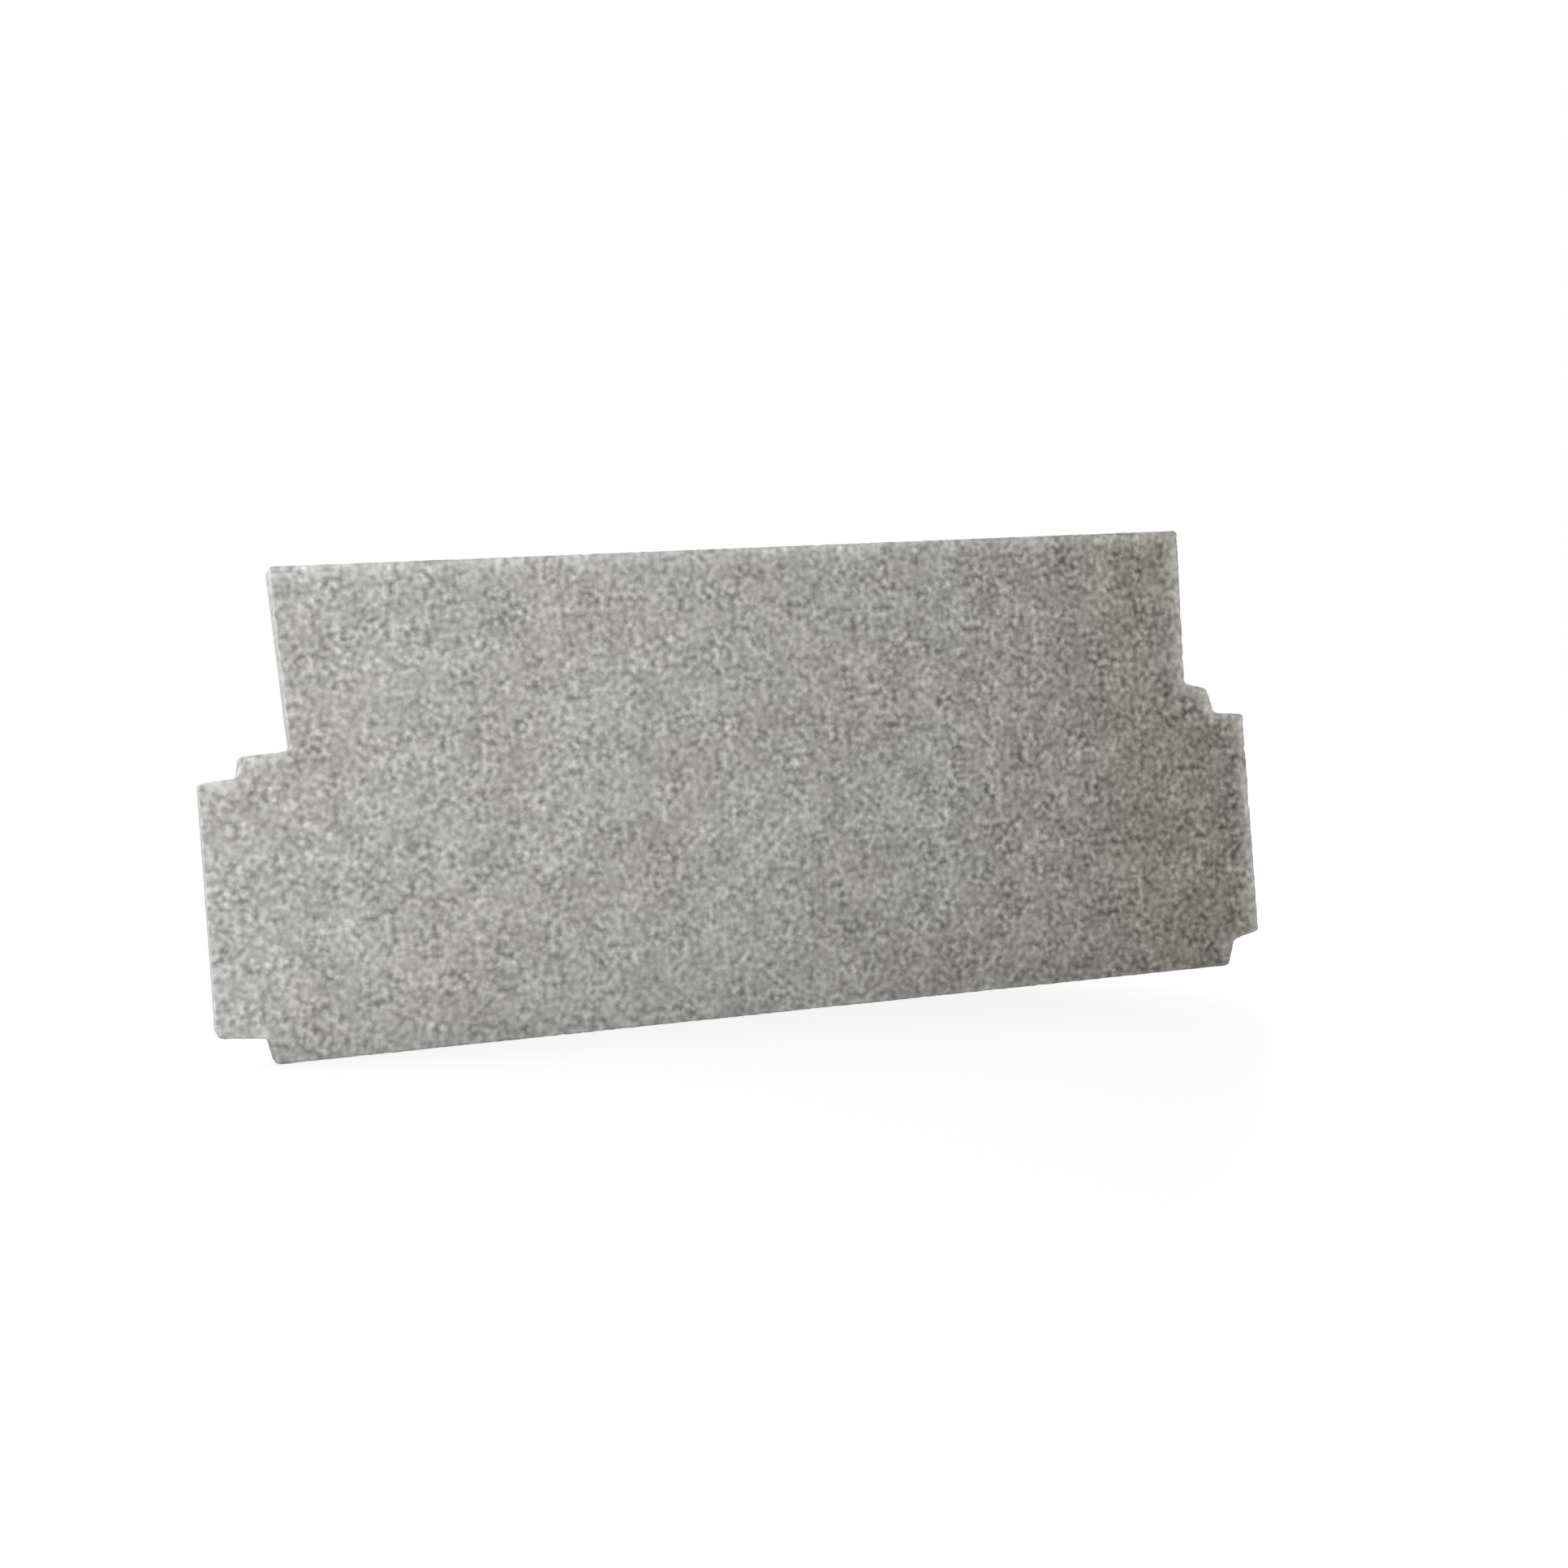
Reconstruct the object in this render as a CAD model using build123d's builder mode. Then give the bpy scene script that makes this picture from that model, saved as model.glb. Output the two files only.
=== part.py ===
from build123d import *

import os
from math import radians, tan

# A combination bench stone with stepped ends, standing on its long base edge.
# It is a coarse and a fine abrasive layer, pressed to one outline and cemented back to back.
# X runs along the stone, Y through its thickness and Z up from the base edge.
# The origin is at the middle of the base edge, and the coarse face looks along -Y.
# Sizes are in millimetres and angles in degrees.

os.makedirs("parts", exist_ok=True)

# Block
length = 250.0  # between the end faces of the two tabs
height = 107.5  # from the base edge to the top edge
coarse_layer = 6.4
fine_layer = 5.3

# Cement film between the layers
bond_film = 0.3
bond_setback = 0.6  # from the outline of the stone to the edge of the film

# Rounding left by the mould and by handling
crisp_corner = 0.9
soft_corner = 1.7
root_radius = 1.2  # inside corners of the steps
arris = 0.9  # round edge of each working face
joint_bevel = 0.3  # small bevel where a layer meets the cement
side_share = 0.45  # most of a side or a layer that one rounding may take
corner_share = 0.8  # most of a corner's radius that the eased edge round it may take

# Tabs, alike at both ends
tab_top = 61.6  # base edge to the tab's outer top corner
ledge_slope = 5.0  # fall of the tab's top towards its end face

# Left end: insets run inward from the end face of the tab
left_lip_inset = 12.0  # base corner
left_lip_lean = 12.0  # outward lean of the lip as it rises
left_notch_height = 5.7  # base edge to the root of the notch
left_underside_slope = 5.5  # underside of the tab, rising outward
left_ledge = 8.3  # width of the tab's top
left_riser = 4.5  # height of the small step
left_riser_lean = 9.0  # inward lean of the small step as it rises
left_shoulder_slope = 3.5  # fall of the shoulder above the small step
left_flank_inset = 20.0  # foot of the flank
left_flank_flare = 3.0  # outward lean of the flank as it rises

# Right end: the same corners, closer to the tab's end face
right_lip_inset = 8.9
right_lip_lean = 18.5
right_notch_height = 6.2
right_underside_slope = 14.0
right_ledge = 7.7
right_riser = 6.2
right_riser_lean = 16.0
right_shoulder_slope = 14.5
right_flank_inset = 15.2
right_flank_flare = 1.5

thickness = coarse_layer + bond_film + fine_layer
coarse_back = thickness / 2 - coarse_layer  # plane offsets, counted towards the coarse face
fine_back = coarse_back - bond_film


def slant(run, angle):
    """How far a face that leans by this angle shifts over this run."""
    return run * tan(radians(angle))


def stepped_end(
    lip_inset,
    lip_lean,
    notch_height,
    underside_slope,
    foot_radius,
    ledge,
    riser,
    riser_lean,
    shoulder_radius,
    shoulder_slope,
    flank_inset,
    flank_flare,
):
    """Corners of one end from the base edge to the top edge, as (inset, height, radius)."""
    notch_inset = lip_inset - slant(notch_height, lip_lean)
    tab_foot = notch_height + slant(notch_inset, underside_slope)
    ledge_root = tab_top + slant(ledge, ledge_slope)
    shoulder_inset = ledge + slant(riser, riser_lean)
    shoulder = ledge_root + riser
    flank_foot = shoulder + slant(flank_inset - shoulder_inset, shoulder_slope)
    top_inset = flank_inset - slant(height - flank_foot, flank_flare)
    return [
        (lip_inset, 0, crisp_corner),
        (notch_inset, notch_height, root_radius),
        (0, tab_foot, foot_radius),
        (0, tab_top, crisp_corner),
        (ledge, ledge_root, root_radius),
        (shoulder_inset, shoulder, shoulder_radius),
        (flank_inset, flank_foot, root_radius),
        (top_inset, height, crisp_corner),
    ]


def carried(radii, points):
    """Each corner's radius, or the largest that the shorter of its two sides can carry."""
    limited = []
    for i, radius in enumerate(radii):
        back = Vector(points[i - 1]) - Vector(points[i])
        ahead = Vector(points[(i + 1) % len(points)]) - Vector(points[i])
        side = min(back.length, ahead.length)
        half_corner = radians(back.get_angle(ahead) / 2)
        limited.append(min(radius, side_share * side * tan(half_corner)))
    return limited


left_end = stepped_end(
    lip_inset=left_lip_inset,
    lip_lean=left_lip_lean,
    notch_height=left_notch_height,
    underside_slope=left_underside_slope,
    foot_radius=soft_corner,
    ledge=left_ledge,
    riser=left_riser,
    riser_lean=left_riser_lean,
    shoulder_radius=crisp_corner,
    shoulder_slope=left_shoulder_slope,
    flank_inset=left_flank_inset,
    flank_flare=left_flank_flare,
)
right_end = stepped_end(
    lip_inset=right_lip_inset,
    lip_lean=right_lip_lean,
    notch_height=right_notch_height,
    underside_slope=right_underside_slope,
    foot_radius=crisp_corner,
    ledge=right_ledge,
    riser=right_riser,
    riser_lean=right_riser_lean,
    shoulder_radius=soft_corner,
    shoulder_slope=right_shoulder_slope,
    flank_inset=right_flank_inset,
    flank_flare=right_flank_flare,
)
corners = [(inset - length / 2, z, radius) for inset, z, radius in left_end]
corners += [(length / 2 - inset, z, radius) for inset, z, radius in reversed(right_end)]
corner_points = [(x, z) for x, z, _ in corners]
corner_radii = carried([radius for _, _, radius in corners], corner_points)


def eased(size, layer):
    """An edge's rounding or bevel, within its layer and the tightest corner that it runs round."""
    return min(size, corner_share * min(corner_radii), side_share * layer)


# Outline that both layers are pressed to, drawn flat: X along the stone, Y up from the base
with BuildSketch() as outline:
    with BuildLine():
        FilletPolyline(*corner_points, radius=corner_radii, close=True)
    make_face()

with BuildSketch() as film_outline:
    add(outline.sketch)
    offset(amount=-bond_setback)

# Coarse layer: its working face looks along -Y
with BuildPart() as coarse_stone:
    with BuildSketch(Plane.XZ.offset(coarse_back)):
        add(outline.sketch)
    extrude(amount=coarse_layer)
    faces_across = coarse_stone.faces().sort_by(Axis.Y)
    working_edges = faces_across[0].edges()
    bonded_edges = faces_across[-1].edges()
    fillet(working_edges, eased(arris, coarse_layer))
    chamfer(bonded_edges, eased(joint_bevel, coarse_layer))
coarse_stone.part.label = "coarse_stone"

# Cement film, a little short of the outline all round
with BuildPart() as bond_layer:
    with BuildSketch(Plane.XZ.offset(fine_back)):
        add(film_outline.sketch)
    extrude(amount=bond_film)
bond_layer.part.label = "bond_layer"

# Fine layer: its working face looks along +Y
with BuildPart() as fine_stone:
    with BuildSketch(Plane.XZ.offset(fine_back)):
        add(outline.sketch)
    extrude(amount=-fine_layer)
    faces_across = fine_stone.faces().sort_by(Axis.Y)
    bonded_edges = faces_across[0].edges()
    working_edges = faces_across[-1].edges()
    fillet(working_edges, eased(arris, fine_layer))
    chamfer(bonded_edges, eased(joint_bevel, fine_layer))
fine_stone.part.label = "fine_stone"

export_step(coarse_stone.part, "parts/coarse_stone.step")
export_step(bond_layer.part, "parts/bond_layer.step")
export_step(fine_stone.part, "parts/fine_stone.step")
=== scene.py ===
"""Dresses a combination bench stone: two pressed layers of grit, and the cement between them.

Laid out as an add-on. Each operator makes one piece, or the stage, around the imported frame.
"""

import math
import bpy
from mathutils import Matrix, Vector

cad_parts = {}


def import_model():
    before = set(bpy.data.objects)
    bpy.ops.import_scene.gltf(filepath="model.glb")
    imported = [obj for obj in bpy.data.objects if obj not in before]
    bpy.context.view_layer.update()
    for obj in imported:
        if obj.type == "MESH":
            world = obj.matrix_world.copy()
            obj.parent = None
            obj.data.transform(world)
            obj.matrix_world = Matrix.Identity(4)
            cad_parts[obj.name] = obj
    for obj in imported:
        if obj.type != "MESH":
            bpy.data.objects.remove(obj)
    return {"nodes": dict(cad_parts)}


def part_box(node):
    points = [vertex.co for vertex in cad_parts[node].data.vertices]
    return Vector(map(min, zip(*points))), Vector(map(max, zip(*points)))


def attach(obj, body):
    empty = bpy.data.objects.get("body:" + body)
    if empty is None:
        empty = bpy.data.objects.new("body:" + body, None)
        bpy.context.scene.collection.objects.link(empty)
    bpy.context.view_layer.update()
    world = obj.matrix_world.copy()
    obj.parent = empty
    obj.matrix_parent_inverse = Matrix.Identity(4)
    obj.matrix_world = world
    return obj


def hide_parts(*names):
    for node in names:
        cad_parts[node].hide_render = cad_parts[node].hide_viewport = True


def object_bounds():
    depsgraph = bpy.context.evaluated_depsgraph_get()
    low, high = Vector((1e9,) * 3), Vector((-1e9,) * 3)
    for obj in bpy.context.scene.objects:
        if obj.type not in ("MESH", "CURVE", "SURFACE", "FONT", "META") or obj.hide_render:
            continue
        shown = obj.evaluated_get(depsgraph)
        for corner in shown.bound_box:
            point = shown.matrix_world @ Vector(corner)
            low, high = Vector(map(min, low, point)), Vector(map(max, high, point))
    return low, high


bl_info = {
    "name": "Combination Bench Stone",
    "version": (1, 0, 0),
    "blender": (4, 5, 0),
    "location": "3D View > Sidebar > Bench Stone",
    "description": "Grit layers, cement joint and studio stage of a combination bench stone",
    "category": "Add Mesh",
}

import bpy
from bpy.props import FloatProperty, FloatVectorProperty, PointerProperty, StringProperty
from mathutils import Quaternion, Vector
from mathutils.bvhtree import BVHTree

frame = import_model()
CAD_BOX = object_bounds()

MM = 0.001
COARSE_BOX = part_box("coarse_stone")
BOND_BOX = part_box("bond_layer")
FINE_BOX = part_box("fine_stone")

SAME_POINT = 0.001 * MM  # points that are nearer than this are merged
WALL_TILT = 0.3  # how far a face's normal may point across the stone on the wall round it
FLAT_TILT = 0.99  # how far it has to on a flat face
JOINT_GAP = 0.1 * MM  # how far from the joint a face that is hidden in it may lie
LEVEL_GAP = 0.01 * MM  # an edge that runs along the cement goes across it by less
STRAIGHT = math.radians(0.5)  # the cement's facets are merged where they bend less
BEAD_SMOOTH = math.radians(50)  # and look round where they bend less than this
# Share of the bead's reach, and the change of its width, at each step of its round front
BEAD_STEPS = ((0.6, 1.0), (0.25, 2.2), (0.15, 0.6))
BEAD_CONTRAST = 1.8
CROWN_CURVE = 1.5  # 1 is an even fall; more keeps it nearer to the arris
RELIEF_CONTRAST = 1.3
CHIP_CONTRAST = 3.5
CHIP_LEVEL = 1.85  # more makes the chips fewer

# Share of each pattern in the grain's height, and the average of their sum
DOME_SHARE = 0.2
GREY_SHARE = 0.2
CRUMB_SHARE = 0.07
CLUSTER_SHARE = 0.71
MEAN_HEIGHT = 0.58
# What deep relief, as painted shade that darkens the hollows, and a pale patch add to that, and
# the sums that are darkest and palest
HOLLOW_SHADE_SHARE = -0.15
MOTTLE_SHARE = 0.45
DARKEST = 0.26
PALEST = 1.3
GREY_CURVE = 1.25  # more makes the pale grains fewer
# Values of each pattern between which it goes from none to all
DOME_RANGE = (0.1, 0.75)  # flat top and foot of a grain, as shares of its width
CLUSTER_RANGE = (0.2, 0.8)
FILLED_RANGE = (0.35, 0.65)
OIL_RANGE = (0.3, 0.7)
GLINT_RANGE = (0.85, 1.0)
GLINT_GLOSS = 0.45  # how much less rough the glossiest crumb is
GRAIN_BUMP = 0.3
GRAIN_HEIGHT = 0.1  # as a share of a grain's width
BOND_IOR = 1.52  # glass
DUST_PER_MM = 1.4  # clumps; single specks of dust are too fine to show
DUST_BUMP = 0.5
EPOXY_IOR = 1.5

# Name of each lamp and of its power, its place, the point that it faces and its side in metres
LAMPS = (
    ("key lamp", "key_power", (-0.33, -0.50, 0.39), (-0.60, 0, 0.20), 0.5),
    ("left back lamp", "back_power", (-0.75, 0.50, 0.55), (0, 0, 0.05), 0.6),
    ("right side lamp", "side_power", (0.85, 0.12, 0.35), (0, 0, 0.05), 0.6),
)


def length(name, default, about):
    """A size property, in metres."""
    return FloatProperty(name=name, description=about, default=default, unit="LENGTH", precision=5)


def share(name, default, about):
    """A property from none to all."""
    return FloatProperty(
        name=name, description=about, default=default, min=0.0, max=1.0, subtype="FACTOR"
    )


def plain(name, default, about):
    """A number with no unit."""
    return FloatProperty(name=name, description=about, default=default)


def shade(name, default, about):
    """An sRGB hex colour."""
    return StringProperty(name=name, description=about, default=default)


class StoneLayerSettings(bpy.types.PropertyGroup):
    """What the two pressed layers share."""

    cell: length("Mesh cell", 0.6 * MM, "Side of one square of the layer's surface mesh")
    bonded_margin: length(
        "Bonded margin", 1.6 * MM, "Strip of fine mesh kept round the hidden cemented face"
    )
    smooth_strip: length(
        "Smooth strip", 1.2 * MM, "Strip beside the cement where the relief fades out"
    )
    crown_width: length(
        "Crown width", 2.4 * MM, "Strip along the arris where the working face falls away"
    )
    crown_back: length("Crown back", 3 * MM, "How far behind the face that fall fades out")
    # Real wear and painted highlight: the arrises are drawn paler, most on the lit right and top
    # and on the base
    wear_and_highlight_reach: length("Wear reach", 4.8 * MM, "How far wear spreads from the arris")
    wear_and_highlight_depth: share("Wear depth", 0.8, "How far the grain of the arris is crushed")
    # Painted highlight: the side where the light falls, whose arrises are drawn palest; the crown
    # falls most there too
    lit_and_rubbed_side: FloatVectorProperty(
        name="Lit and rubbed side",
        description="Side whose arris is rubbed most",
        default=(0.75, 0.0, 0.44),
        subtype="DIRECTION",
    )
    least_wear_and_highlight: share("Least wear", 0.05, "Wear of the arris on the side that is handled least")
    base_wear_and_highlight: share("Base wear", 0.9, "Wear of the arris that the stone is stood on")
    base_reach: length("Base reach", 1.5 * MM, "How far that wear spreads")
    chip_reach: length("Chip reach", 1.8 * MM, "Strip along the arris that chips")
    chip_size: length("Chip size", 1.9 * MM, "Width of the chips along the arris")
    chip_depth: length("Chip depth", 0.35 * MM, "Depth of the deepest chip along the arris")
    crumb_share: share("Crumb share", 0.45, "Width of a crumb of bond as a share of a grain")
    mottle_size: length("Mottle size", 7.7 * MM, "Width of patches from uneven mixing")
    filled_size: length("Filled size", 5 * MM, "Width of the places where swarf fills the pores")
    filled_contrast: share("Filled contrast", 0.5, "Contrast that the grain keeps there")
    # Painted shade: the stone is drawn darker towards its base edge
    base_shade_height: length("Base shade height", 9 * MM, "How high the base edge has soaked up water")
    base_shade_depth: share("Base shade depth", 0.13, "How much darker the damp base edge is")
    oil_patch: length("Oil patch", 28.5 * MM, "Width of the patches of old oil")
    oil_patch_depth: share("Oil patch depth", 0.35, "How oily those patches are")
    # Painted shade: the stone is drawn darker and warmer from here to its right end
    oil_and_shade_start: length("Oil start", 25 * MM, "Where oil soaked in from the right end fades out")
    # Painted shade: the pores are drawn darker from here towards the right end
    shaded_pore_start: length("Shaded pore start", 0.0, "Where the pores are clean")
    # The painted shade towards the right end is strongest here
    stone_end: length("Stone end", 125 * MM, "Where oil and swarf are strongest")


class CoarseStoneSettings(bpy.types.PropertyGroup):
    """The coarse layer, whose face looks along -Y."""

    crown_depth: length("Crown depth", 0.25 * MM, "How far the face has fallen at the arris")
    relief_size: length("Relief size", 1.3 * MM, "Width of the lumps in the open surface")
    relief_depth: length("Relief depth", 0.2 * MM, "Height of those lumps")
    grain: length("Grain", 1.0 * MM, "Width of one grain as it is drawn")
    cluster: length("Cluster", 1.52 * MM, "Width of a group of grains and its pore")
    dark: shade("Dark grain", "#6B6B6A", "Silicon carbide grain seen against the light")
    pale: shade("Pale grain", "#CBCBCA", "Grain coated with glassy bond")
    # Worn colours: crushed grain, and painted highlight on the lit and base arrises
    worn_and_lit: shade("Worn grain", "#F4F4F2", "Crushed grain along the arris")
    worn_and_lit_pore: shade("Worn pore", "#A2A2A0", "Pore between crushed grains")
    # Painted shade: colour of the pores at the right end, where less light falls
    shaded_pore: shade("Shaded pore", "#474440", "Pore full of oil and metal dust")
    # Oil tint, also used as painted shade that darkens and warms the right end
    oil_and_shade: shade("Oil film", "#F0E9E3", "Tint that old honing oil gives the grain")
    roughness: share("Roughness", 0.85, "How dull the grain is")


class FineStoneSettings(bpy.types.PropertyGroup):
    """The fine layer, whose face looks along +Y."""

    crown_depth: length("Crown depth", 0.12 * MM, "How far the face has fallen at the arris")
    relief_size: length("Relief size", 1.6 * MM, "Width of the shallow unevenness")
    relief_depth: length("Relief depth", 0.05 * MM, "Height of that unevenness")
    grain: length("Grain", 0.6 * MM, "Width of one speck as it is drawn")
    cluster: length("Cluster", 1.0 * MM, "Width of a group of specks")
    dark: shade("Dark speck", "#787877", "Fine silicon carbide")
    pale: shade("Pale speck", "#B4B4B2", "Glassy bond between the grains")
    # Worn colours: crushed grain, and painted highlight on the lit and base arrises
    worn_and_lit: shade("Worn speck", "#D6D6D4", "Crushed grain along the arris")
    worn_and_lit_pore: shade("Worn pore", "#B3B3B1", "Pore between crushed grains")
    # Painted shade: colour of the pores at the right end, where less light falls
    shaded_pore: shade("Shaded pore", "#62605D", "Pore full of oil and metal dust")
    # Oil tint, also used as painted shade that darkens and warms the right end
    oil_and_shade: shade("Oil film", "#F0EBE6", "Tint that old honing oil gives the grain")
    roughness: share("Roughness", 0.7, "How dull the grain is")


class CementSettings(bpy.types.PropertyGroup):
    """The cement film and the bead that was squeezed out of it."""

    step: length("Bead step", 0.9 * MM, "Longest edge along the bead")
    reach: length("Bead reach", 0.5 * MM, "How far the bead stands out of the film")
    wander: length("Bead wander", 0.22 * MM, "How far the bead's edge draws back in places")
    wander_size: length("Wander size", 4 * MM, "Width of those places")
    dusty: shade("Dusty cement", "#84817B", "Epoxy full of stone dust")
    clean: shade("Clean cement", "#B0ACA3", "Epoxy with little dust in it")
    roughness: share("Roughness", 0.55, "How dull the set cement is")
    dust_depth: length("Dust depth", 0.05 * MM, "Height of the clumps of dust")


class StageSettings(bpy.types.PropertyGroup):
    """Floor, lamps, world and camera."""

    eye: FloatVectorProperty(
        name="Camera place",
        description="Where the camera stands",
        default=(-0.14013, -0.48711, 0.05061),
        subtype="TRANSLATION",
    )
    aim: FloatVectorProperty(
        name="Camera aim",
        description="Point that the camera looks at",
        default=(0.0054, -0.006, 0.05243),
        subtype="TRANSLATION",
    )
    roll: FloatProperty(
        name="Camera roll",
        description="Lean of the camera to its right",
        default=math.radians(4.223),
        subtype="ANGLE",
    )
    lens: FloatProperty(
        name="Lens", description="Focal length on a 36 mm sensor", default=50.0, unit="CAMERA"
    )
    key_power: FloatProperty(name="Key lamp", description="Power", default=4.15, unit="POWER")
    back_power: FloatProperty(name="Back lamp", description="Power", default=10.3, unit="POWER")
    side_power: FloatProperty(name="Side lamp", description="Power", default=0.6, unit="POWER")
    sky: plain("Sky", 0.562, "Strength of the even light from all round")
    sky_colour: shade("Sky colour", "#FFFEFB", "Light thrown back by a warm white room")
    gloss: share("Floor gloss", 0.07, "Share of the floor's look that is reflection")
    gloss_blur: share("Gloss blur", 0.25, "How blurred that reflection is")
    shadow: share("Floor shadow", 0.12, "Share of the floor's look that lamps and shadow change")
    near_glow: share("Near glow", 0.81, "How white the floor is of itself beside the stone")
    bounce: share("Floor bounce", 0.8, "Share of the light that the floor throws back up")
    sweep_start: length("Sweep start", 0.22, "Distance at which the floor starts to whiten")
    sweep_end: length("Sweep end", 0.42, "Distance at which it is pure white")
    sweep_ahead: length("Sweep ahead", 0.1, "How far in front of the stone that is counted from")
    sweep_aside: length("Sweep aside", -0.04, "How far to the right that is counted from")
    sweep_narrow: share("Sweep narrowing", 0.4, "Width of that zone as a share of its depth")
    floor_half: length("Floor half width", 4.0, "Half the side of the floor")


def only(piece):
    """Selects and activates one object alone."""
    if bpy.context.mode != "OBJECT":
        bpy.ops.object.mode_set(mode="OBJECT")
    bpy.ops.object.select_all(action="DESELECT")
    piece.select_set(True)
    bpy.context.view_layer.objects.active = piece


def edit(piece, kind="FACE"):
    """Opens one object in edit mode with nothing selected."""
    only(piece)
    bpy.ops.object.mode_set(mode="EDIT")
    bpy.ops.mesh.select_mode(type=kind)
    bpy.ops.mesh.select_all(action="DESELECT")
    bpy.ops.object.mode_set(mode="OBJECT")


def choose(elements, test):
    """Selects the faces, edges or vertices that pass the test, and returns how many."""
    chosen = 0
    for element in elements:
        element.select = bool(test(element))
        chosen += element.select
    return chosen


def blank_from(node, name):
    """A merged copy of a CAD node, with no material."""
    piece = bpy.data.objects.new(name, frame["nodes"][node].data.copy())
    bpy.context.scene.collection.objects.link(piece)
    piece.data.materials.clear()
    edit(piece, "VERT")
    bpy.ops.object.mode_set(mode="EDIT")
    bpy.ops.mesh.select_all(action="SELECT")
    bpy.ops.mesh.customdata_custom_splitnormals_clear()
    bpy.ops.mesh.remove_doubles(threshold=SAME_POINT)
    bpy.ops.object.mode_set(mode="OBJECT")
    return piece


def apply(piece, modifier):
    """Bakes one modifier into the mesh."""
    only(piece)
    bpy.ops.object.modifier_apply(modifier=modifier.name)


def remeshed(piece, cell, node):
    """Turns the blank into an even skin of small squares, drawn out to the true corners."""
    skin = piece.modifiers.new("Skin", "REMESH")
    skin.mode = "VOXEL"
    skin.voxel_size = cell
    apply(piece, skin)
    snug = piece.modifiers.new("True corners", "SHRINKWRAP")
    snug.target = frame["nodes"][node]
    snug.wrap_method = "NEAREST_SURFACEPOINT"
    apply(piece, snug)


def walls_of(blank):
    """Search tree of the faces that stand round the outline."""
    mesh = blank.data
    walls = [tuple(p.vertices) for p in mesh.polygons if abs(p.normal.y) < WALL_TILT]
    return BVHTree.FromPolygons([v.co for v in mesh.vertices], walls)


def fade(distance, reach):
    """1 at no distance, falling smoothly to 0 at the reach."""
    t = min(max(1 - distance / reach, 0.0), 1.0)
    return t * t * (3 - 2 * t)


def weigh(piece, name, weights):
    """Stores one weight per vertex as a group for modifiers."""
    group = piece.vertex_groups.new(name=name)
    for index, weight in enumerate(weights):
        if weight > 0:
            group.add([index], weight, "REPLACE")
    return group.name


def record(piece, name, values):
    """Stores one number per vertex for the material."""
    attribute = piece.data.attributes.new(name, "FLOAT", "POINT")
    attribute.data.foreach_set("value", values)


def move_across(piece, name, depth, group):
    """Moves a surface across the stone by this depth."""
    modifier = piece.modifiers.new(name, "DISPLACE")
    modifier.direction = "Y"
    modifier.vertex_group = group
    modifier.mid_level = 0.0
    modifier.strength = depth
    apply(piece, modifier)


def press_in(piece, name, depth, group, texture):
    """Presses a surface inward where the texture is dark, by at most this depth."""
    modifier = piece.modifiers.new(name, "DISPLACE")
    modifier.direction = "NORMAL"
    modifier.vertex_group = group
    modifier.texture = texture
    modifier.texture_coords = "LOCAL"
    modifier.mid_level = 1.0
    modifier.strength = depth
    apply(piece, modifier)


def clouds(name, size, contrast, depth=2):
    """Smooth noise for a modifier, with features of this size."""
    texture = bpy.data.textures.new(name, "CLOUDS")
    texture.noise_scale = size
    texture.noise_depth = depth
    texture.contrast = contrast
    texture.use_clamp = True
    return texture


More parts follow.
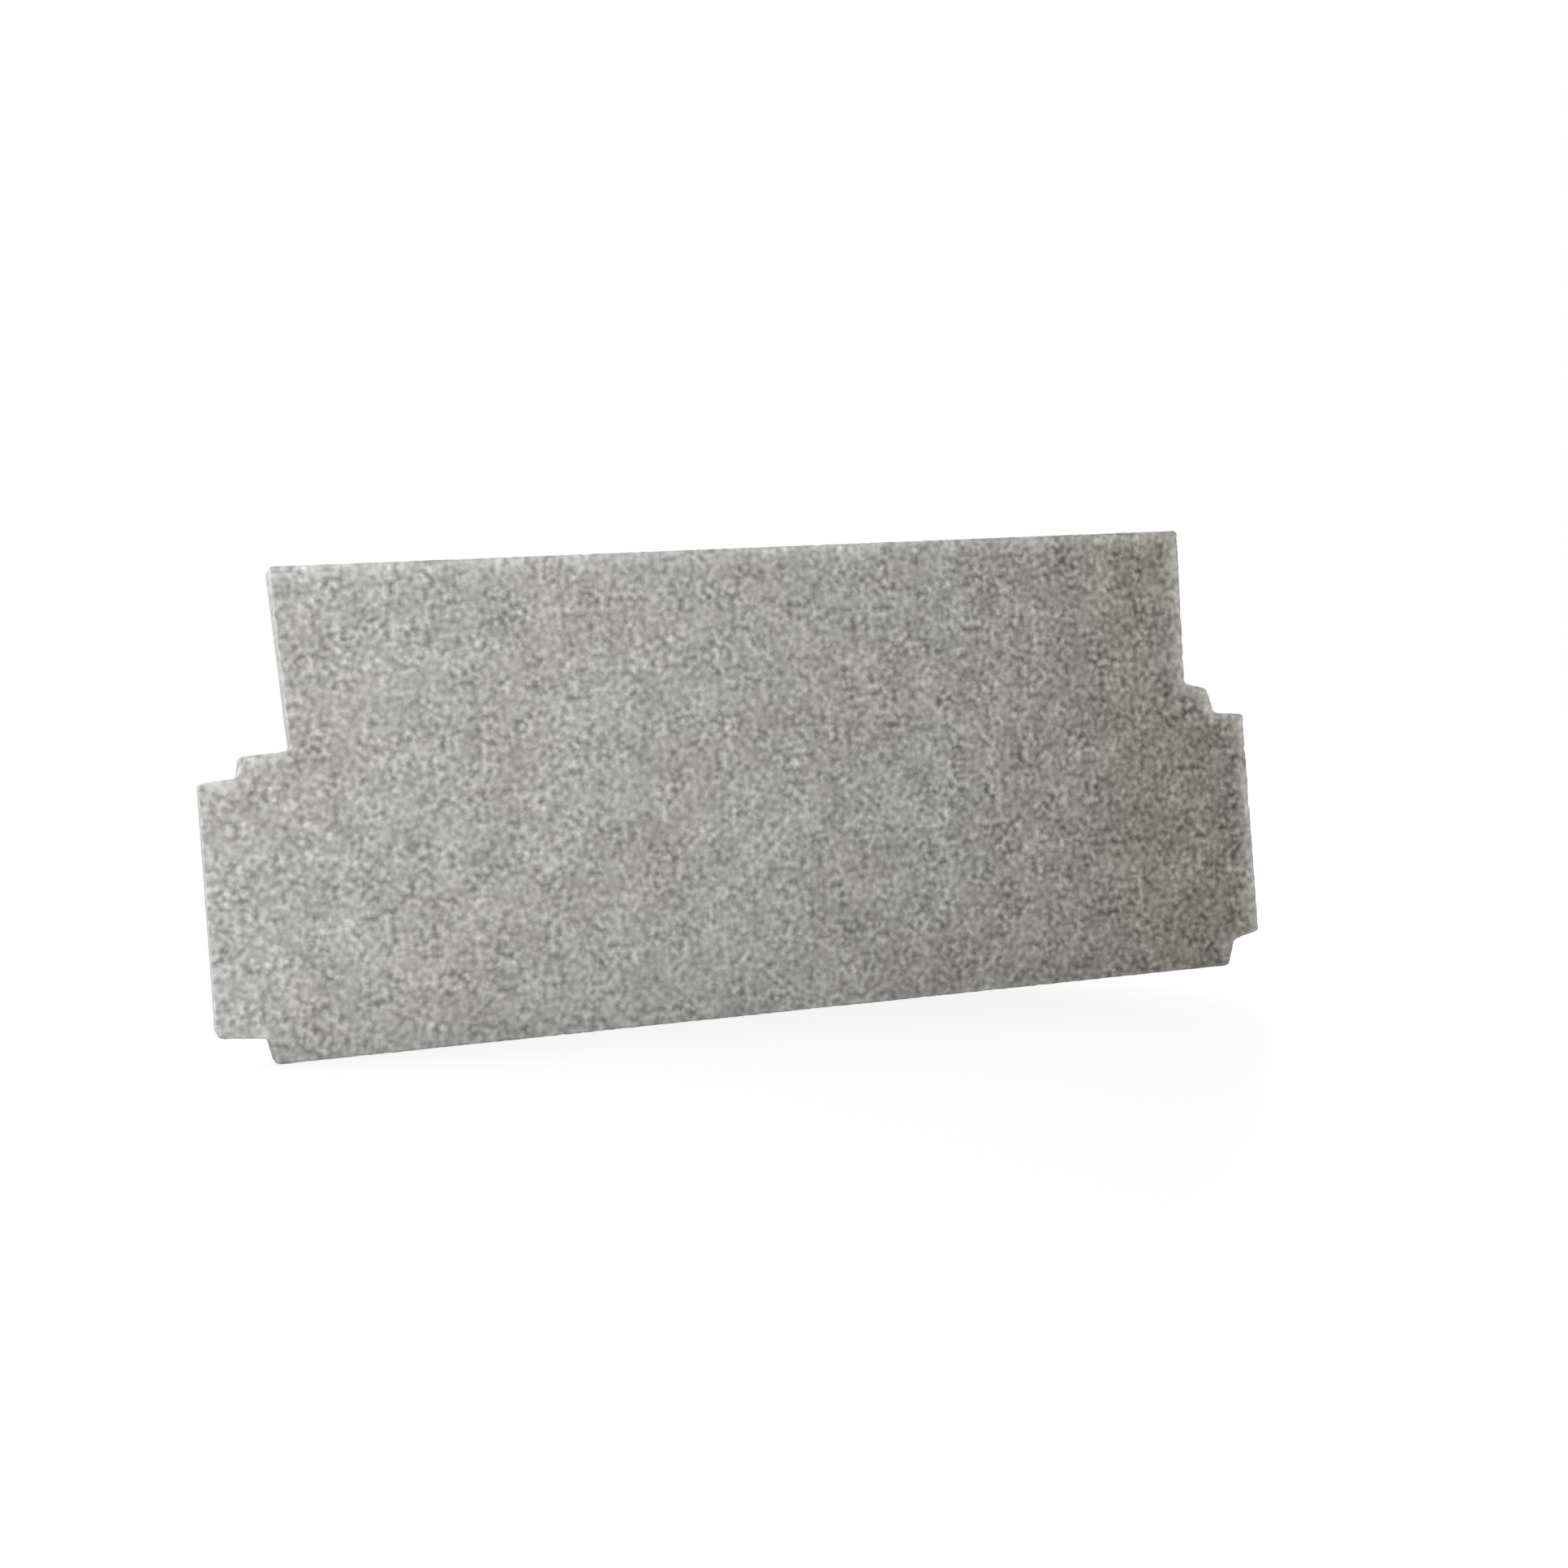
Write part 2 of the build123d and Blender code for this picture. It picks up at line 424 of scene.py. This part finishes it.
def pressed_layer(node, box, working_sign, layer, own):
    """One pressed layer: even skin, fallen edges, small losses and open grit."""
    working_y = box[0].y if working_sign < 0 else box[1].y
    bonded_y = box[1].y if working_sign < 0 else box[0].y
    piece = blank_from(node, node + "_grit")
    walls = walls_of(piece)
    remeshed(piece, layer.cell, node)

    def hidden(face):
        if abs(face.center.y - bonded_y) > JOINT_GAP or abs(face.normal.y) < FLAT_TILT:
            return False
        return walls.find_nearest(face.center)[3] > layer.bonded_margin

    edit(piece)
    choose(piece.data.polygons, hidden)
    bpy.ops.object.mode_set(mode="EDIT")
    bpy.ops.mesh.dissolve_faces()
    bpy.ops.object.mode_set(mode="OBJECT")

    # Painted highlight with the wear: arrises facing the lit right and top, and the base arris,
    # get more of the pale colour
    lit_and_rubbed = Vector(layer.lit_and_rubbed_side).normalized()
    crown, wear, chip, grit = [], [], [], []
    for vertex in piece.data.vertices:
        _, outward, _, to_wall = walls.find_nearest(vertex.co)
        to_face = abs(vertex.co.y - working_y)
        to_arris = math.hypot(to_wall, to_face)
        rub_and_light = max(outward.dot(lit_and_rubbed), layer.least_wear_and_highlight)
        fallen = fade(to_wall, layer.crown_width) ** CROWN_CURVE
        crown.append(rub_and_light * fallen * fade(to_face, layer.crown_back))
        stood_on = layer.base_wear_and_highlight * max(-outward.z, 0)
        handling_and_highlight = rub_and_light * fade(to_arris, layer.wear_and_highlight_reach)
        wear.append(max(handling_and_highlight, stood_on * fade(to_arris, layer.base_reach)))
        chip.append(fade(to_arris, layer.chip_reach))
        grit.append(1 - fade(abs(vertex.co.y - bonded_y), layer.smooth_strip))
    crown = weigh(piece, "crown", crown)
    grit = weigh(piece, "grit", grit)
    chip = weigh(piece, "chip", chip)
    record(piece, "wear", wear)

    move_across(piece, "Fallen edge", -working_sign * own.crown_depth, crown)
    before = [v.co.copy() for v in piece.data.vertices]
    normals = [v.normal.copy() for v in piece.data.vertices]
    relief = clouds(node + "_relief", own.relief_size, RELIEF_CONTRAST, depth=1)
    press_in(piece, "Open grit", own.relief_depth, grit, relief)
    depths = [
        (old - v.co).dot(n) / own.relief_depth
        for v, old, n in zip(piece.data.vertices, before, normals)
    ]
    chips = clouds(node + "_chips", layer.chip_size, CHIP_CONTRAST)
    chips.intensity = CHIP_LEVEL
    press_in(piece, "Chipped arris", layer.chip_depth, chip, chips)
    record(piece, "depth", depths)
    piece.vertex_groups.clear()
    only(piece)
    bpy.ops.object.shade_smooth()
    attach(piece, "root")
    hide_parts(node)
    return piece


def linear(hex_colour):
    """An sRGB hex colour as linear RGBA."""
    parts = [int(hex_colour[i : i + 2], 16) / 255 for i in (1, 3, 5)]
    return [p / 12.92 if p <= 0.04045 else ((p + 0.055) / 1.055) ** 2.4 for p in parts] + [1.0]


def add(tree, kind, settings=None, **inputs):
    """Adds a shader node with its settings, and sets or links its inputs by name or number."""
    node = tree.nodes.new(kind)
    for key, value in (settings or {}).items():
        setattr(node, key, value)
    for key, value in inputs.items():
        socket = node.inputs[int(key[1:]) if key[1:].isdigit() else key.replace("_", " ")]
        if isinstance(value, bpy.types.Node):
            value = value.outputs[0]
        if isinstance(value, bpy.types.NodeSocket):
            tree.links.new(value, socket)
        else:
            socket.default_value = value
    return node


def blank_material(name):
    """A material with an empty node tree, and that tree."""
    material = bpy.data.materials.new(name)
    material.use_nodes = True
    material.node_tree.nodes.clear()
    return material, material.node_tree


# Real grains are about 0.12 mm in the coarse layer and 0.04 mm in the fine one. Both are
# too fine to show, so the groups of grains that catch the eye are drawn instead.
def grit_material(name, own, layer):
    """Silicon carbide grain in a glassy fired bond: salt and pepper, dull, with a few glints."""
    material, tree = blank_material(name)
    # Object coordinates, counted in millimetres
    place = add(tree, "ShaderNodeTexCoord").outputs["Object"]
    place = add(tree, "ShaderNodeMapping", Vector=place, Scale=[1 / MM] * 3)
    across = add(tree, "ShaderNodeSeparateXYZ", Vector=place).outputs
    depth = add(tree, "ShaderNodeAttribute", {"attribute_name": "depth"}).outputs["Fac"]
    wear = add(tree, "ShaderNodeAttribute", {"attribute_name": "wear"}).outputs["Fac"]

    # Single grains, each with its own grey and a domed top
    grains = add(tree, "ShaderNodeTexVoronoi", Vector=place, Scale=MM / own.grain)
    grey = add(tree, "ShaderNodeSeparateColor", Color=grains.outputs["Color"])
    dome = add(
        tree,
        "ShaderNodeMapRange",
        Value=grains.outputs["Distance"],
        From_Min=DOME_RANGE[0],
        From_Max=DOME_RANGE[1],
        To_Min=1.0,
        To_Max=0.0,
    )
    # Crumbs of bond between them
    crumb_size = layer.crumb_share * own.grain
    crumb = add(tree, "ShaderNodeTexVoronoi", Vector=place, Scale=MM / crumb_size)
    crumb = add(tree, "ShaderNodeSeparateColor", Color=crumb.outputs["Color"]).outputs["Green"]
    # Groups of grains, with a pore beside each
    cluster = add(tree, "ShaderNodeTexNoise", Vector=place, Scale=MM / own.cluster, Detail=0.0)
    cluster = add(
        tree,
        "ShaderNodeMapRange",
        Value=cluster,
        From_Min=CLUSTER_RANGE[0],
        From_Max=CLUSTER_RANGE[1],
    )
    # Broad patches, from uneven mixing
    mottle = add(
        tree, "ShaderNodeTexNoise", Vector=place, Scale=MM / layer.mottle_size, Detail=2.0
    )

    height = add(tree, "ShaderNodeMath", {"operation": "MULTIPLY"}, i0=dome, i1=DOME_SHARE)
    for part, amount in ((grey, GREY_SHARE), (crumb, CRUMB_SHARE), (cluster, CLUSTER_SHARE)):
        height = add(
            tree, "ShaderNodeMath", {"operation": "MULTIPLY_ADD"}, i0=part, i1=amount, i2=height
        )
    # Where swarf has filled the pores, the grain stands out less
    bare = add(
        tree, "ShaderNodeTexNoise", Vector=place, Scale=MM / layer.filled_size, Detail=1.0
    )
    bare = add(
        tree,
        "ShaderNodeMapRange",
        Value=bare,
        From_Min=FILLED_RANGE[0],
        From_Max=FILLED_RANGE[1],
        To_Min=layer.filled_contrast,
        To_Max=1.0,
    )
    level = add(tree, "ShaderNodeMix", i0=bare, i2=MEAN_HEIGHT, i3=height)
    # Painted shade: the hollows of the relief are drawn darker
    for part, amount in ((depth, HOLLOW_SHADE_SHARE), (mottle, MOTTLE_SHARE)):
        level = add(
            tree, "ShaderNodeMath", {"operation": "MULTIPLY_ADD"}, i0=part, i1=amount, i2=level
        )
    level = add(tree, "ShaderNodeMapRange", Value=level, From_Min=DARKEST, From_Max=PALEST)
    level = add(tree, "ShaderNodeMath", {"operation": "POWER"}, i0=level, i1=GREY_CURVE)

    # Painted shade: the pores are drawn darker towards the right end, where less light falls
    pore_shade = add(
        tree,
        "ShaderNodeMapRange",
        Value=across["X"],
        From_Min=layer.shaded_pore_start / MM,
        From_Max=layer.stone_end / MM,
    )
    pore = add(
        tree,
        "ShaderNodeMix",
        {"data_type": "RGBA"},
        i0=pore_shade,
        i6=linear(own.dark),
        i7=linear(own.shaded_pore),
    ).outputs[2]
    stone = add(
        tree, "ShaderNodeMix", {"data_type": "RGBA"}, i0=level, i6=pore, i7=linear(own.pale)
    ).outputs[2]

    # Painted shade, darker and warmer towards the right end, and old oil in some faint patches
    end_shade = add(
        tree,
        "ShaderNodeMapRange",
        {"interpolation_type": "SMOOTHSTEP"},
        Value=across["X"],
        From_Min=layer.oil_and_shade_start / MM,
        From_Max=layer.stone_end / MM,
    )
    patch = add(tree, "ShaderNodeTexNoise", Vector=place, Scale=MM / layer.oil_patch, Detail=1.0)
    patch = add(
        tree,
        "ShaderNodeMapRange",
        Value=patch,
        From_Min=OIL_RANGE[0],
        From_Max=OIL_RANGE[1],
        To_Max=layer.oil_patch_depth,
    )
    oil_and_shade = add(tree, "ShaderNodeMath", {"operation": "MAXIMUM"}, i0=end_shade, i1=patch)
    stone = add(
        tree,
        "ShaderNodeMix",
        {"data_type": "RGBA", "blend_type": "MULTIPLY"},
        i0=oil_and_shade,
        i6=stone,
        i7=linear(own.oil_and_shade),
    ).outputs[2]

    # Crushed grain along the arris, with painted highlight: the right and top arrises, where the
    # light falls, and the base arris are drawn paler
    crushed_and_lit = add(
        tree,
        "ShaderNodeMix",
        {"data_type": "RGBA"},
        i0=level,
        i6=linear(own.worn_and_lit_pore),
        i7=linear(own.worn_and_lit),
    ).outputs[2]
    worn_and_lit = add(tree, "ShaderNodeMath", {"operation": "MULTIPLY"}, i0=wear, i1=layer.wear_and_highlight_depth)
    stone = add(tree, "ShaderNodeMix", {"data_type": "RGBA"}, i0=worn_and_lit, i6=stone, i7=crushed_and_lit)
    stone = stone.outputs[2]

    # Painted shade: darker towards the base edge, where less light reaches it
    base_shade = add(
        tree,
        "ShaderNodeMapRange",
        {"interpolation_type": "SMOOTHSTEP"},
        Value=across["Z"],
        From_Max=layer.base_shade_height / MM,
        To_Min=layer.base_shade_depth,
        To_Max=0.0,
    )
    stone = add(
        tree, "ShaderNodeMix", {"data_type": "RGBA"}, i0=base_shade, i6=stone, i7=(0, 0, 0, 1)
    ).outputs[2]

    # A few crumbs of glassy bond glint
    glint = add(
        tree,
        "ShaderNodeMapRange",
        Value=crumb,
        From_Min=GLINT_RANGE[0],
        From_Max=GLINT_RANGE[1],
        To_Min=own.roughness,
        To_Max=own.roughness - GLINT_GLOSS,
    )
    bump = add(
        tree,
        "ShaderNodeBump",
        Strength=GRAIN_BUMP,
        Distance=GRAIN_HEIGHT * own.grain,
        Height=height,
    )
    surface = add(
        tree,
        "ShaderNodeBsdfPrincipled",
        Base_Color=stone,
        Roughness=glint,
        Normal=bump,
        IOR=BOND_IOR,
    )
    add(tree, "ShaderNodeOutputMaterial", Surface=surface)
    return material


def cement_material(own):
    """Set epoxy cement, dull, with stone dust in it."""
    material, tree = blank_material("set epoxy cement with stone dust")
    place = add(tree, "ShaderNodeTexCoord").outputs["Object"]
    place = add(tree, "ShaderNodeMapping", Vector=place, Scale=[1 / MM] * 3)
    dust = add(tree, "ShaderNodeTexNoise", Vector=place, Scale=DUST_PER_MM, Detail=4.0)
    colour = add(
        tree,
        "ShaderNodeMix",
        {"data_type": "RGBA"},
        i0=dust,
        i6=linear(own.dusty),
        i7=linear(own.clean),
    )
    bump = add(
        tree, "ShaderNodeBump", Strength=DUST_BUMP, Distance=own.dust_depth, Height=dust
    )
    surface = add(
        tree,
        "ShaderNodeBsdfPrincipled",
        Base_Color=colour.outputs[2],
        Roughness=own.roughness,
        Normal=bump,
        IOR=EPOXY_IOR,
    )
    add(tree, "ShaderNodeOutputMaterial", Surface=surface)
    return material


def floor_material(own):
    """Glossy white acrylic sheet, which fades to pure white away from the stone."""
    material, tree = blank_material("glossy white acrylic sheet")
    place = add(tree, "ShaderNodeTexCoord").outputs["Object"]
    place = add(
        tree,
        "ShaderNodeMapping",
        {"vector_type": "TEXTURE"},
        Vector=place,
        Location=(own.sweep_aside, -own.sweep_ahead, 0),
        Scale=(own.sweep_narrow, 1, 1),
    )
    away = add(tree, "ShaderNodeVectorMath", {"operation": "LENGTH"}, i0=place)
    white = add(
        tree,
        "ShaderNodeMapRange",
        {"interpolation_type": "SMOOTHSTEP"},
        Value=away.outputs["Value"],
        From_Min=own.sweep_start,
        From_Max=own.sweep_end,
        To_Min=own.near_glow,
        To_Max=1.0,
    )
    glow = add(tree, "ShaderNodeEmission", Strength=white)
    matt = add(tree, "ShaderNodeBsdfDiffuse", Color=(*[own.shadow] * 3, 1))
    gloss = add(
        tree, "ShaderNodeBsdfGlossy", Color=(*[own.gloss] * 3, 1), Roughness=own.gloss_blur
    )
    sheet = add(tree, "ShaderNodeAddShader", i0=matt, i1=gloss)
    sheet = add(tree, "ShaderNodeAddShader", i0=sheet, i1=glow)
    # Only the camera sees that; the stone is lit by the light that a white sheet throws back
    bounce = add(tree, "ShaderNodeBsdfDiffuse", Color=(*[own.bounce] * 3, 1))
    seen = add(tree, "ShaderNodeLightPath").outputs["Is Camera Ray"]
    both = add(tree, "ShaderNodeMixShader", i0=seen, i1=bounce, i2=sheet)
    add(tree, "ShaderNodeOutputMaterial", Surface=both)
    return material


class STONE_OT_coarse(bpy.types.Operator):
    """Make the coarse layer"""

    bl_idname = "stone.coarse"
    bl_label = "Coarse Layer"

    def execute(self, context):
        scene = context.scene
        own = scene.coarse_layer
        piece = pressed_layer("coarse_stone", COARSE_BOX, -1, scene.stone_layers, own)
        piece.data.materials.append(
            grit_material("vitrified coarse silicon carbide", own, scene.stone_layers)
        )
        return {"FINISHED"}


class STONE_OT_fine(bpy.types.Operator):
    """Make the fine layer"""

    bl_idname = "stone.fine"
    bl_label = "Fine Layer"

    def execute(self, context):
        scene = context.scene
        own = scene.fine_layer
        piece = pressed_layer("fine_stone", FINE_BOX, 1, scene.stone_layers, own)
        piece.data.materials.append(
            grit_material("vitrified fine silicon carbide", own, scene.stone_layers)
        )
        return {"FINISHED"}


class STONE_OT_cement(bpy.types.Operator):
    """Make the cement film and its squeezed-out bead"""

    bl_idname = "stone.cement"
    bl_label = "Cement Joint"

    def execute(self, context):
        own = context.scene.cement_joint
        piece = blank_from("bond_layer", "bond_bead")
        mesh = piece.data
        middle = (BOND_BOX[0].y + BOND_BOX[1].y) / 2
        edit(piece)
        bpy.ops.object.mode_set(mode="EDIT")
        bpy.ops.mesh.select_all(action="SELECT")
        bpy.ops.mesh.dissolve_limited(angle_limit=STRAIGHT)
        bpy.ops.object.mode_set(mode="OBJECT")

        def long_run(edge):
            a, b = (mesh.vertices[i].co for i in edge.vertices)
            return abs(a.y - b.y) < LEVEL_GAP and (a - b).length > own.step

        edit(piece, "EDGE")
        while choose(mesh.edges, long_run):
            bpy.ops.object.mode_set(mode="EDIT")
            bpy.ops.mesh.subdivide(number_cuts=1)
            edit(piece, "EDGE")
        edit(piece)
        choose(mesh.polygons, lambda face: abs(face.normal.y) < WALL_TILT)
        bpy.ops.object.mode_set(mode="EDIT")
        for reach, spread in BEAD_STEPS:
            bpy.ops.mesh.extrude_region_shrink_fatten(
                TRANSFORM_OT_shrink_fatten={"value": reach * own.reach, "use_even_offset": True}
            )
            bpy.ops.transform.resize(value=(1, spread, 1), center_override=(0, middle, 0))
        bpy.ops.object.mode_set(mode="OBJECT")
        front = weigh(piece, "bead", [float(v.select) for v in mesh.vertices])
        wander = clouds("cement", own.wander_size, BEAD_CONTRAST)
        press_in(piece, "Drawn back", own.wander, front, wander)
        piece.vertex_groups.clear()
        only(piece)
        bpy.ops.object.shade_smooth_by_angle(angle=BEAD_SMOOTH)
        mesh.materials.append(cement_material(own))
        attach(piece, "root")
        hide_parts("bond_layer")
        return {"FINISHED"}


class STONE_OT_stage(bpy.types.Operator):
    """Set out the floor, lamps, world and camera"""

    bl_idname = "stone.stage"
    bl_label = "Studio Stage"

    def execute(self, context):
        own = context.scene.studio_stage
        bpy.ops.object.select_all(action="DESELECT")
        bpy.ops.mesh.primitive_plane_add(size=2 * own.floor_half, location=(0, 0, CAD_BOX[0].z))
        floor = context.active_object
        floor.name = "floor"
        floor.data.transform(floor.matrix_world)
        floor.matrix_world.identity()
        floor.data.materials.append(floor_material(own))

        world = bpy.data.worlds.new("even studio white")
        world.use_nodes = True
        tree = world.node_tree
        tree.nodes.clear()
        path = add(tree, "ShaderNodeLightPath").outputs
        shown = path["Is Camera Ray"]
        for other in ("Is Glossy Ray", "Is Transmission Ray"):
            shown = add(
                tree, "ShaderNodeMath", {"operation": "MAXIMUM"}, i0=shown, i1=path[other]
            )
        soft = add(tree, "ShaderNodeBackground", Color=linear(own.sky_colour), Strength=own.sky)
        white = add(tree, "ShaderNodeBackground", Color=(1, 1, 1, 1), Strength=1.0)
        sky = add(tree, "ShaderNodeMixShader", i0=shown, i1=soft, i2=white)
        add(tree, "ShaderNodeOutputWorld", Surface=sky)
        context.scene.world = world

        for name, power, place, target, size in LAMPS:
            bpy.ops.object.light_add(type="AREA", location=place)
            lamp = context.active_object
            lamp.name = name
            lamp.data.size = size
            lamp.data.energy = getattr(own, power)
            look = (Vector(target) - Vector(place)).to_track_quat("-Z", "Y")
            lamp.rotation_euler = look.to_euler()

        bpy.ops.object.camera_add(location=own.eye)
        camera = context.active_object
        camera.name = "camera"
        camera.data.lens = own.lens
        camera.data.sensor_width = 36.0
        camera.data.clip_start = 0.01
        look = (Vector(own.aim) - Vector(own.eye)).to_track_quat("-Z", "Y")
        camera.rotation_euler = (look @ Quaternion((0, 0, 1), -own.roll)).to_euler()
        context.scene.camera = camera
        context.scene.view_settings.view_transform = "Standard"
        return {"FINISHED"}


class STONE_PT_panel(bpy.types.Panel):
    """Bench stone"""

    bl_label = "Bench Stone"
    bl_space_type = "VIEW_3D"
    bl_region_type = "UI"
    bl_category = "Bench Stone"

    def draw(self, context):
        for operator in OPERATORS:
            self.layout.operator(operator.bl_idname)
        for name, settings in SETTINGS.items():
            box = self.layout.box()
            box.label(text=name.replace("_", " ").capitalize())
            for key in settings.__annotations__:
                box.prop(getattr(context.scene, name), key)


SETTINGS = {
    "stone_layers": StoneLayerSettings,
    "coarse_layer": CoarseStoneSettings,
    "fine_layer": FineStoneSettings,
    "cement_joint": CementSettings,
    "studio_stage": StageSettings,
}
OPERATORS = (STONE_OT_coarse, STONE_OT_fine, STONE_OT_cement, STONE_OT_stage)


def register():
    for cls in (*SETTINGS.values(), *OPERATORS, STONE_PT_panel):
        bpy.utils.register_class(cls)
    for name, cls in SETTINGS.items():
        setattr(bpy.types.Scene, name, PointerProperty(type=cls))


def unregister():
    for name in SETTINGS:
        delattr(bpy.types.Scene, name)
    for cls in (STONE_PT_panel, *reversed(OPERATORS), *SETTINGS.values()):
        bpy.utils.unregister_class(cls)


def main():
    register()
    bpy.ops.stone.coarse()
    bpy.ops.stone.fine()
    bpy.ops.stone.cement()
    bpy.ops.stone.stage()


if __name__ == "__main__":
    main()
